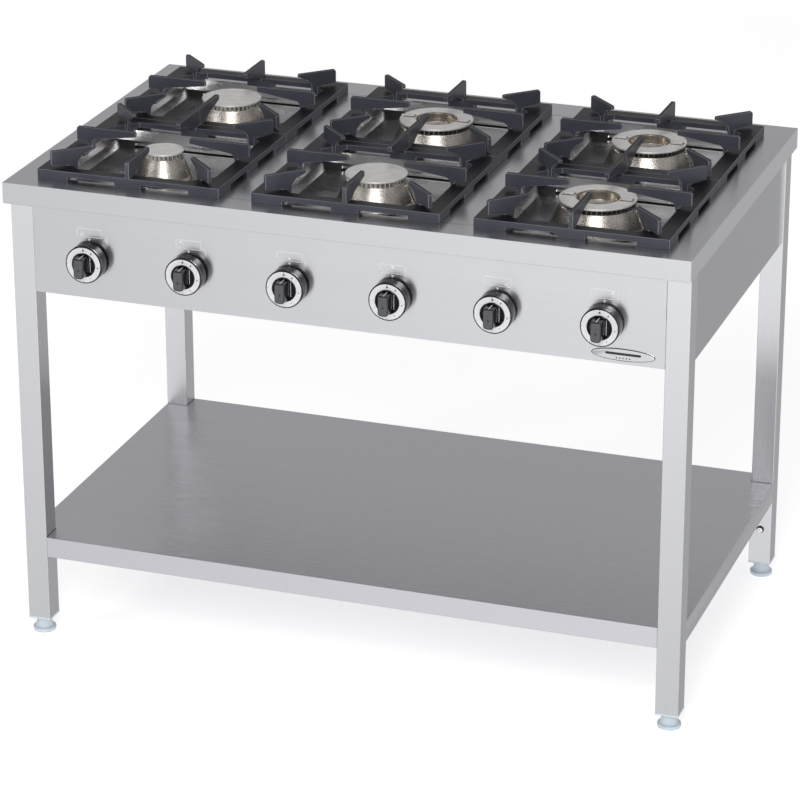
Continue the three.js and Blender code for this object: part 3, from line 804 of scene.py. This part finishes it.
def cap_profile(radius, ring):
    """Outside of a cap, measured from its top face: from the middle of the underside round to the top.

    The second value is the numbers of the two points that are cut into teeth, between the flame ports.
    """
    rim = [
        (radius - 7.6, CAP_UNDERSIDE), (radius - 7.6, -10.8), (radius - 1.7, -10.8), (radius - 1.7, -4.4),
        (radius - 0.9, -3.7), (radius, -3.0), (radius, -0.9), (radius - 0.3, -0.25), (radius - 1.0, 0),
    ]
    if ring:
        under = [(0, -25), (RING_HOLE, -25), (RING_HOLE, -4), (radius - 10, -4), (radius - 10, CAP_UNDERSIDE)]
        top = [RING_BOWL[0]]
    else:
        under = [(0, -5), (radius - 10, -5), (radius - 10, CAP_UNDERSIDE)]
        top = [(radius * 0.5, 0), (0, 0)]
    return under + rim + top, (len(under) + 2, len(under) + 3)


def grip_tab(piece, place):
    """Raised tab on a ring cap: an outline of painted shadow, border and light top."""
    # Painted shadow round the tab.
    piece.slab(rectangle(22.6, 16), -1, 0.12, place, 0.1, look="shade_black", steps=1)
    piece.slab(rectangle(20, 12), -1, 2.2, place, 0.4, look="bowl", steps=1)
    piece.slab(rectangle(17, 8.4), 1.5, 2.45, place, 0.3, steps=1)


def burner_cap(here):
    """Cap with flame ports round its rim; the large ones are rings with a bowl and two grip tabs."""
    node = f"burner_cap_{here}"
    _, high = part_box(node)
    centre = middle(node)
    radius = extent(node, "X") / 2
    ring = radius > RING_CAP_RADIUS
    top = high[2] - (TAB_RISE * MM if ring else 0)
    place = Matrix.Translation((centre.x, centre.y, top))
    segments = 4 * round(2 * math.pi * radius / PORT_PITCH)
    profile, toothed = cap_profile(radius, ring)
    piece = Piece(f"{node}_look", "cap", "shade_black", "bowl")
    if ring:
        # Painted shade in the ring's port band: black between the teeth, the darker bowl look on them.
        piece.turned(profile, place, segments, toothed=toothed, bite=4.6, recess="shade_black", tooth="bowl")
        # The bowl inside the ring takes the darker bowl look: painted shade in the hole.
        piece.turned(RING_BOWL, place, segments, look="bowl")
        for side in (-1, 1):
            grip_tab(piece, moved(place, side * TAB_PLACE, 0))
    else:
        # Painted shade between the teeth of a small cap: the darker bowl look.
        piece.turned(profile, place, segments, toothed=toothed, bite=2.4, recess="bowl", tooth="cap")
    piece.finish(node, "burner_cap", node, smooth=32)


def burner_body(here):
    """Hollow casting: a neck, a conical head and one rib up its right side."""
    node = f"burner_body_{here}"
    place = standing(node)
    foot = extent(node, "X") / 2
    head = foot - HEAD_INSET
    height = extent(node, "Z")
    base = height - HEAD_HEIGHT
    neck = [(BORE, 0.6), (BORE + 0.6, 0), (NECK_RADIUS - 0.6, 0), (NECK_RADIUS, 0.6), (NECK_RADIUS, base)]
    outside = [
        (foot, base), (foot, base + 3), (foot - 0.9, base + 4.6), (foot - 4.5, base + 9),
        (head + 7, height - 17.5), (head + 1.4, height - 5), (head + 0.1, height - 1.6),
        (head - 0.5, height - 0.3), (head - 1.4, height),
    ]
    inside = [(head - 6, height), (foot - 12, base + 7), (BORE, base + 4), (BORE, 0.6)]
    piece = Piece(f"{node}_look", "casting")
    piece.turned(neck + outside + inside, place)
    rib_foot, rib_head = foot - 3, head + 3.4
    rib_height = height - base
    rib = [
        (rib_foot - 6, 0), (rib_foot + 2.2, 0), (rib_foot + 2.6, 3), (rib_head + 2.4, rib_height - 9),
        (rib_head + 0.6, rib_height - 6.4), (rib_head - 5, rib_height - 7),
    ]
    lift = Matrix.Translation((0, 0, (base + 3) * MM))
    piece.slab(rib, -RIB_WIDTH / 2, RIB_WIDTH / 2, place @ lift @ TO_FRONT, 2.4, steps=3)
    piece.finish(STAND, "burner_casting", node, smooth=40)


def grate(here):
    """Cast pot support with paler rounded edges, partly wear and partly a painted highlight."""
    refined(f"grate_{here}", f"grate_{here}", "iron", 1.3, limit=25, edge_look="iron_edge_wear_and_highlight")


# ---------------------------------------------------------------- knobs

GRIP_RISE = 22
GRIP_REACH = 17
HUB_RADIUS = 21.6
GRIP_HIGHLIGHT_PLACE = 10.6
MARK_RADIUS = 26
TICK_RADIUS = 29.9


def knob(here):
    """Chrome-sided dial with a printed ring, a black hub and a bar grip with a pointer line."""
    node = f"knob_{here}"
    place = facing_cook(node)
    radius = extent(node, "X") / 2
    depth = extent(node, "Y")
    face = depth - GRIP_RISE
    side, lip, edge = radius - 0.5, radius - 1.3, radius - 2.2
    bands = (
        ("black", [(4.5, 0.4), (4.5, 0), (radius - 2.5, 0), (radius - 1.2, 0.5), (radius - 0.6, 1.4)]),
        ("chrome", [(radius - 0.6, 1.4), (radius, 2.2), (radius, face - 6.0), (side, face - 5.4)]),
        # A paler steel band in the groove of the chrome side: a painted highlight line.
        ("steel", [(side, face - 5.4), (side, face - 3.8)]),
        ("chrome", [(side, face - 3.8), (radius, face - 3.2), (radius, face - 1.3), (side, face - 0.4),
                    (lip, face - 0.05)]),
        ("mark", [(lip, face - 0.05), (radius - 1.9, face), (edge, face - 0.35)]),
        ("dial", [(edge, face - 0.35), (radius - 3, face - 0.3), (HUB_RADIUS, face - 0.3)]),
        ("black", [(HUB_RADIUS, face - 0.3), (21.0, face + 0.2), (20.2, face + 0.5), (19.4, face + 0.1),
                   (18.6, face - 1.6), (17.6, face - 3.4), (15, face - 4.2), (0, face - 4.4)]),
    )
    piece = Piece(f"{node}_look", "black", "chrome", "dial", "mark", "grip_face", "steel")
    for look, profile in bands:
        piece.turned(profile, place, look=look)
    grip(piece, place, face, depth)
    dial_marks(piece, place, face)
    piece.finish(node, "knob_plastic", node, smooth=35)


def grip(piece, place, face, depth):
    """Bar across the hub with a paler inset, two dark dots, painted highlight lines along its foot on the hub
    and a pointer line.
    """
    front = [
        (-8.7, -14.5), (-6, -17.4), (0, -18.0), (6, -17.4), (8.7, -14.5),
        (9, 0), (8.8, GRIP_REACH), (-8.8, GRIP_REACH), (-9, 0),
    ]
    piece.slab(front, face - 4.8, depth - 0.25, place, 1.3, steps=3)
    inset = [(0.86 * x, 0.92 * y) for x, y in front]
    piece.slab(inset, depth - 1, depth - 0.05, place, 0.2, look="grip_face", steps=1)
    piece.slab(oval(4.0, 4.0, 20), depth - 0.5, depth, moved(place, 0, -3), look="mark")
    piece.slab(oval(1.6, 1.6, 12), depth - 0.5, depth, moved(place, 0, 5), look="mark")
    # Pale lines on the hub along both sides of the grip's foot: painted highlights.
    for side in (-1, 1):
        piece.slab(rectangle(0.8, 26), face - 5, face - 3.7, moved(place, side * GRIP_HIGHLIGHT_PLACE, 0), look="dial")
    end = moved(place, 0, GRIP_REACH) @ Matrix.Rotation(-math.pi / 2, 4, "X")
    low, high = face - 1, depth - 3.0
    pointer = [(-0.9, -high), (0.9, -high), (0.9, -low), (-0.9, -low)]
    piece.slab(pointer, -0.6, 0.12, end, look="dial")


def dial_marks(piece, place, face):
    """Off dot, flame marks and edge ticks on the printed ring."""
    low, high = face - 0.6, face - 0.18
    flame = [(0, 2.2), (-0.8, 0.6), (-1.2, -0.7), (-0.7, -1.7), (0.7, -1.7), (1.2, -0.7), (0.8, 0.6)]

    def printed(outline, clockwise, radius):
        turn = Matrix.Rotation(math.radians(-clockwise), 4, "Z")
        piece.slab(outline, low, high, moved(place @ turn, 0, radius), look="mark")

    printed(oval(3.4, 3.4, 20), 0, MARK_RADIUS)
    for clockwise, size in ((34, 1.0), (97, 0.8), (151, 0.6)):
        printed([(x * size, y * size) for x, y in flame], clockwise, MARK_RADIUS)
    for clockwise in (0, 90, 180, 270):
        printed(rectangle(0.9, 1.4), clockwise, TICK_RADIUS)


# ---------------------------------------------------------------- prints and name plate

SYMBOL_RISE = 48
SYMBOL_WIDTH = 45
SYMBOL_HEIGHT = 15
SYMBOL_LINE = 0.9
PLATE_STEPS = 96
DOT_PITCH = 5.5


def panel_symbol(here):
    """Outline of the hob with one burner filled and a pointer, printed faintly above the knob."""
    panel_low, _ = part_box("control_panel")
    axis = middle(f"knob_{here}")
    centre = Matrix.Translation((axis.x, panel_low[1], axis.z + SYMBOL_RISE * MM))
    place = centre @ TO_FRONT

    def printed(outline, x, y):
        piece.slab(outline, -0.3, 0.06, moved(place, x, y))

    piece = Piece(f"symbol_{here}", "faint")
    for side in (-1, 1):
        printed(rectangle(SYMBOL_LINE, SYMBOL_HEIGHT), side * SYMBOL_WIDTH / 2, 0)
        printed(rectangle(SYMBOL_WIDTH + SYMBOL_LINE, SYMBOL_LINE), 0, side * SYMBOL_HEIGHT / 2)
    column, row = divmod(PLACES.index(here), 2)
    printed(oval(4.6, 4.6, 16), (column - 1) * SYMBOL_WIDTH / 3.2, (row - 0.5) * SYMBOL_HEIGHT / 2.1)
    printed([(-2.8, 2.4), (2.8, 2.4), (0, -2.4)], 0, -SYMBOL_HEIGHT / 2 - 5)
    piece.finish(STAND, "name_plate")


def badge():
    """Oval plate with a thin dark outline, a plain bar and five dots."""
    place = facing_cook("badge")
    width = extent("badge", "X")
    height = extent("badge", "Z")
    piece = Piece("badge_look", "sheet_x", "mark")
    piece.slab(oval(width, height, PLATE_STEPS), 0, 0.9, place, 0.25, look="mark")
    piece.slab(oval(width - 2.4, height - 2.2, PLATE_STEPS), 0.4, 1.15, place, 0.2)
    piece.slab(pill(0.56 * width, 0.2 * height), 1, 1.2, moved(place, 0, 1.5), look="mark")
    for step in range(-2, 3):
        piece.slab(oval(2.8, 2.2, 12), 1, 1.2, moved(place, DOT_PITCH * step, -0.27 * height), look="mark")
    piece.finish(STAND, "name_plate", "badge")


# ---------------------------------------------------------------- gas train and bonding screw

TIP_RELIEF = 1.8


def turned_spindle(here):
    """Spindle with its collar; its tip stays short of the knob's grip when the knob is pushed in."""
    node = f"valve_spindle_{here}"
    length = extent(node, "Y") - TIP_RELIEF
    collar = [(0, 0), (5.2, 0), (5.5, 0.4), (5.5, 4.6), (5.2, 5)]
    shaft = [(4, 5), (4, length - 0.6), (3.4, length), (0, length)]
    piece = Piece(f"{node}_look", "steel")
    piece.turned(collar + shaft, facing_cook(node), 32)
    piece.finish(node, "spindle_steel", node)


def gas_train():
    """Taps, spindles, manifold and inlet behind the control panel."""
    for here in PLACES:
        refined(f"gas_valve_{here}", STAND, "brass", 0.5, limit=50, smooth=True)
        turned_spindle(here)
    refined("gas_manifold", STAND, "pipe", 0.6, limit=50, smooth=True)
    refined("gas_inlet", STAND, "brass", 0.5, limit=50, smooth=True)


def bonding_screw():
    """Bright hexagon head and stud on a black serrated washer, whose black is also painted shadow round the
    head.
    """
    node = "earth_terminal"
    place = facing_cook(node)
    length = extent(node, "Y")
    radius = extent(node, "X") / 2
    washer = [(0, 0), (radius, 0), (radius, 1.4), (0, 1.5)]
    piece = Piece(f"{node}_look", "screw", "mark")
    # The washer's black also stands in for the shadow round the head.
    piece.turned(washer, place, 48, look="mark", toothed=(1, 2), bite=0.7, recess="mark", tooth="mark")
    piece.slab(oval(11, 11, 6), 1.0, 5.5, place, 0.7)
    piece.turned([(2.5, 5), (2.5, length - 0.6), (1.9, length), (0, length)], place, 24)
    piece.finish(STAND, "spindle_steel", node)


# ---------------------------------------------------------------- assembly

camera()
studio()
sheet_metal()
for corner in CORNERS:
    screw_foot(corner)
    leg_plug(corner)
    shelf_gap(corner)
for here in PLACES:
    air_baffle(here)
    burner_cap(here)
    burner_body(here)
    grate(here)
    knob(here)
    panel_symbol(here)
badge()
gas_train()
bonding_screw()
seams()
skirt_shade_line()

bpy.context.scene.view_settings.view_transform = "Standard"
